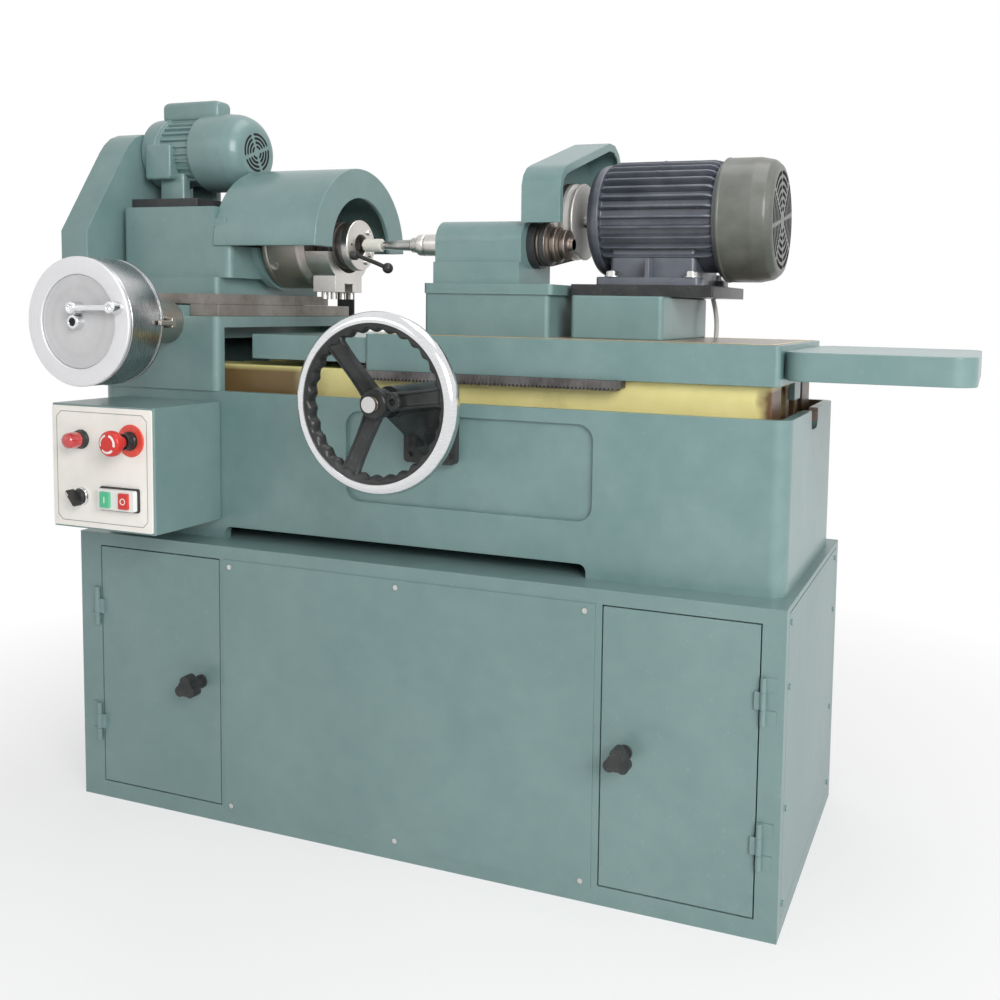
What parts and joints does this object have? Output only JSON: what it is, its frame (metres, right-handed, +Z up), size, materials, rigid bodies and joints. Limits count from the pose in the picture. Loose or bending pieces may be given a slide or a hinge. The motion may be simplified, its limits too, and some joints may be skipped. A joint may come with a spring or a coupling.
{
  "type": "connecting rod grinding machine",
  "caption": "Floor-standing bore grinder: cabinet, bed, handwheel table with motor-driven wheelhead, and a cross-fed workhead with hood, belt guard and control box.",
  "frame": {"origin": "middle of the cabinet's underside, on the floor", "axes": "+X to the operator's right along the table, +Y away from the operator, +Z up"},
  "size_m": [1.459, 0.63, 1.201],
  "materials": {
    "teal_paint": "semi-gloss grey-green machine enamel",
    "cream_paint": "cream enamel with oil stains",
    "black_paint": "glossy black paint on castings",
    "white_paint": "satin off-white panel",
    "navy_paint": "dark blue-grey motor enamel",
    "olive_paint": "dark olive-grey sheet metal",
    "steel": "turned steel",
    "chrome": "polished chrome",
    "iron": "ground, oiled iron",
    "black_plastic": "moulded black plastic",
    "red_plastic": "glossy red plastic",
    "green_plastic": "glossy green plastic",
    "white_plastic": "white plastic",
    "abrasive": "vitrified white abrasive",
    "belt_rubber": "belt rubber"
  },
  "bodies": {
    "base": {"cabinet": "teal_paint", "cabinet_front": "teal_paint", "cabinet_inner": "teal_paint", "centre_panel": "teal_paint", "panel_screws": "steel", "side_panel": "teal_paint", "hinge_leaves": "teal_paint", "bed": "teal_paint", "bed_ways": "cream_paint", "column": "teal_paint", "cross_rails": "iron", "rear_plate": "black_paint", "control_box": "teal_paint", "control_faceplate": "white_paint", "pilot_lamp": "red_plastic", "estop_base": "red_plastic", "selector_base": "chrome", "pushbutton_body": "white_plastic", "handwheel_bracket": "black_paint", "dial_bracket": "black_paint"},
    "left_door": {"left_door": "teal_paint"},
    "right_door": {"right_door": "teal_paint"},
    "left_knob": {"left_knob": "black_plastic"},
    "right_knob": {"right_knob": "black_plastic"},
    "estop_button": {"estop_button": "red_plastic"},
    "selector_knob": {"selector_knob": "black_plastic"},
    "start_button": {"start_button": "green_plastic"},
    "stop_button": {"stop_button": "red_plastic"},
    "handwheel": {"handwheel_rim": "chrome", "handwheel_spider": "black_paint", "pinion_shaft": "steel"},
    "table": {"table": "teal_paint", "table_tray": "teal_paint", "rack": "iron", "wheelhead_base": "teal_paint", "spindle_housing": "teal_paint", "motor_stand": "teal_paint", "motor_plate": "black_paint", "motor_frame": "navy_paint", "motor_fan_cover": "olive_paint", "belt_guard": "teal_paint", "drive_belt": "belt_rubber"},
    "grinding_spindle": {"grinding_spindle": "steel", "grinding_wheel": "abrasive", "spindle_pulley": "iron"},
    "motor_rotor": {"motor_pulley": "steel"},
    "cross_slide": {"saddle": "iron", "headstock_housing": "teal_paint", "hood": "teal_paint", "work_motor_plate": "iron", "work_motor": "teal_paint", "left_belt_guard": "teal_paint"},
    "work_rotor": {"work_motor_pulley": "steel"},
    "work_spindle": {"work_spindle": "steel", "faceplate": "steel", "rod_clamp": "chrome", "ring_plate": "steel"},
    "ball_lever": {"ball_lever": "black_plastic"},
    "dial": {"dial_drum": "chrome", "feed_screw": "steel"}
  },
  "joints": [
    {"name": "table_slide", "type": "slide", "parent": "base", "child": "table", "axis": [1, 0, 0], "range_m": [-0.065, 0.2]},
    {"name": "handwheel_turn", "type": "hinge", "parent": "base", "child": "handwheel", "pos_m": [0.05, -0.355, 0.713], "axis": [0, 1, 0], "range_deg": [-225, 680]},
    {"name": "cross_slide", "type": "slide", "parent": "base", "child": "cross_slide", "axis": [0, 1, 0], "range_m": [-0.005, 0.04]},
    {"name": "dial_turn", "type": "hinge", "parent": "base", "child": "dial", "pos_m": [-0.454, -0.34, 0.814], "axis": [0, 1, 0], "range_deg": [-185, 1445]},
    {"name": "work_spindle_spin", "type": "hinge", "parent": "cross_slide", "child": "work_spindle", "pos_m": [-0.3, -0.034, 0.948], "axis": [1, 0, 0], "continuous": true},
    {"name": "work_motor_spin", "type": "hinge", "parent": "cross_slide", "child": "work_rotor", "pos_m": [-0.6, -0.05, 1.108], "axis": [1, 0, 0], "continuous": true},
    {"name": "ball_lever_turn", "type": "hinge", "parent": "work_spindle", "child": "ball_lever", "pos_m": [-0.18, -0.058, 0.93], "axis": [1, 0, 0], "range_deg": [-35, 35]},
    {"name": "motor_spin", "type": "hinge", "parent": "table", "child": "motor_rotor", "pos_m": [0.175, 0.06, 0.991], "axis": [1, 0, 0], "continuous": true},
    {"name": "grinding_spindle_spin", "type": "hinge", "parent": "table", "child": "grinding_spindle", "pos_m": [0.05, -0.034, 0.948], "axis": [1, 0, 0], "continuous": true},
    {"name": "left_door_hinge", "type": "hinge", "parent": "base", "child": "left_door", "pos_m": [-0.5615, -0.2445, 0.233], "axis": [0, 0, -1], "range_deg": [0, 110]},
    {"name": "right_door_hinge", "type": "hinge", "parent": "base", "child": "right_door", "pos_m": [0.5725, -0.2445, 0.233], "axis": [0, 0, 1], "range_deg": [0, 110]},
    {"name": "left_knob_turn", "type": "hinge", "parent": "left_door", "child": "left_knob", "pos_m": [-0.35, -0.24, 0.231], "axis": [0, -1, 0], "range_deg": [0, 90]},
    {"name": "right_knob_turn", "type": "hinge", "parent": "right_door", "child": "right_knob", "pos_m": [0.38, -0.24, 0.231], "axis": [0, 1, 0], "range_deg": [0, 90]},
    {"name": "estop_push", "type": "slide", "parent": "base", "child": "estop_button", "axis": [0, 1, 0], "range_m": [0, 0.006], "stiffness_N_per_m": 900},
    {"name": "start_push", "type": "slide", "parent": "base", "child": "start_button", "axis": [0, 1, 0], "range_m": [0, 0.003], "stiffness_N_per_m": 600},
    {"name": "stop_push", "type": "slide", "parent": "base", "child": "stop_button", "axis": [0, 1, 0], "range_m": [0, 0.003], "stiffness_N_per_m": 600},
    {"name": "selector_turn", "type": "hinge", "parent": "base", "child": "selector_knob", "pos_m": [-0.49, -0.342, 0.541], "axis": [0, -1, 0], "range_deg": [-45, 45]}
  ],
  "couplings": [
    {"joint": "handwheel_turn", "follows": "table_slide", "rad_per_m": 58.824},
    {"joint": "dial_turn", "follows": "cross_slide", "rad_per_m": 628.32},
    {"joint": "work_motor_spin", "follows": "work_spindle_spin", "ratio": 2.9167},
    {"joint": "grinding_spindle_spin", "follows": "motor_spin", "ratio": 2}
  ]
}
